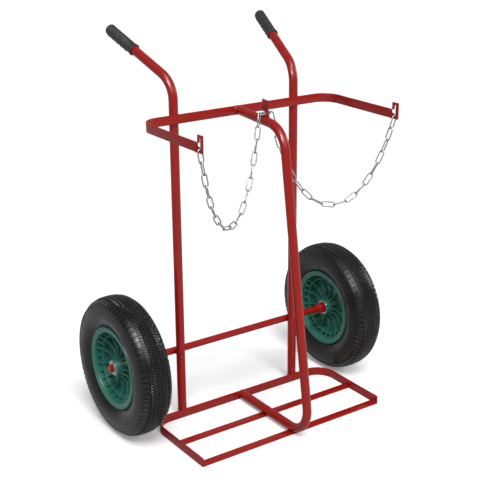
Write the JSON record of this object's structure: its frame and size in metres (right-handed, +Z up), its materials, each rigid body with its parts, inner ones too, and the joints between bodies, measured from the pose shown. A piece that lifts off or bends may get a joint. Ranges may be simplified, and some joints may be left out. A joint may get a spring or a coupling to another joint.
{
  "type": "gas cylinder cart",
  "caption": "Wheeled steel cart that carries gas cylinders upright on a toe frame, with a divider, a retaining hoop, hooked chains and gripped handles.",
  "frame": {"origin": "on the floor, under the middle of the cart", "axes": "+Z up; X along the axle, +X to the right hand of someone who faces the front; -Y the front, where the cylinders stand, +Y the side with the handles"},
  "size_m": [0.8496, 0.608, 1.1097],
  "materials": {
    "frame_paint": "gloss",
    "tyre_rubber": "matte",
    "wheel_plastic": "satin",
    "grip_rubber": "matte",
    "zinc_steel": "satin",
    "bearing_steel": "satin",
    "valve_rubber": "matte"
  },
  "bodies": {
    "cart_frame": {"left_upright": "frame_paint", "right_upright": "frame_paint", "toe_frame": "frame_paint", "middle_rail": "frame_paint", "front_rail": "frame_paint", "upper_hoop": "frame_paint", "centre_divider": "frame_paint", "left_hook_plate": "frame_paint", "right_hook_plate": "frame_paint", "centre_hook_plate": "frame_paint", "axle": "frame_paint", "left_axle_collar": "frame_paint", "right_axle_collar": "frame_paint", "left_inner_washer": "zinc_steel", "left_outer_washer": "zinc_steel", "left_split_pin": "zinc_steel", "right_inner_washer": "zinc_steel", "right_outer_washer": "zinc_steel", "right_split_pin": "zinc_steel", "middle_chain_link": "zinc_steel", "left_grip": "grip_rubber", "right_grip": "grip_rubber"},
    "left_wheel": {"left_wheel_centre": "wheel_plastic", "left_tyre": "tyre_rubber", "left_valve": "valve_rubber", "left_inner_bearing": "bearing_steel", "left_outer_bearing": "bearing_steel"},
    "right_wheel": {"right_wheel_centre": "wheel_plastic", "right_tyre": "tyre_rubber", "right_valve": "valve_rubber", "right_inner_bearing": "bearing_steel", "right_outer_bearing": "bearing_steel"},
    "left_chain": {"left_chain_links_01_02": "zinc_steel", "left_chain_links_03_04": "zinc_steel", "left_chain_links_05_06": "zinc_steel", "left_chain_links_07_08": "zinc_steel", "left_chain_links_09_10": "zinc_steel", "left_chain_links_11_12": "zinc_steel", "left_chain_links_13_14": "zinc_steel", "left_chain_links_15_16": "zinc_steel", "left_chain_links_17_18": "zinc_steel", "left_chain_hook_link": "zinc_steel"},
    "right_chain": {"right_chain_links_01_02": "zinc_steel", "right_chain_links_03_04": "zinc_steel", "right_chain_links_05_06": "zinc_steel", "right_chain_links_07_08": "zinc_steel", "right_chain_links_09_10": "zinc_steel", "right_chain_links_11_12": "zinc_steel", "right_chain_links_13_14": "zinc_steel", "right_chain_links_15_16": "zinc_steel", "right_chain_links_17_18": "zinc_steel", "right_chain_hook_link": "zinc_steel"}
  },
  "joints": [
    {"name": "left_wheel_spin", "type": "hinge", "parent": "cart_frame", "child": "left_wheel", "pos_m": [-0.3748, 0.06546, 0.2], "axis": [1, 0, 0], "continuous": true},
    {"name": "right_wheel_spin", "type": "hinge", "parent": "cart_frame", "child": "right_wheel", "pos_m": [0.3748, 0.06546, 0.2], "axis": [1, 0, 0], "continuous": true},
    {"name": "left_chain_swing", "type": "hinge", "parent": "cart_frame", "child": "left_chain", "pos_m": [-0.01833, -0.08398, 0.89666], "axis": [0.8728, 0.4861, 0.0433], "range_deg": [-12, 20]},
    {"name": "right_chain_swing", "type": "hinge", "parent": "cart_frame", "child": "right_chain", "pos_m": [0.01833, -0.08398, 0.89666], "axis": [0.8728, -0.4861, -0.0433], "range_deg": [-12, 20]}
  ]
}
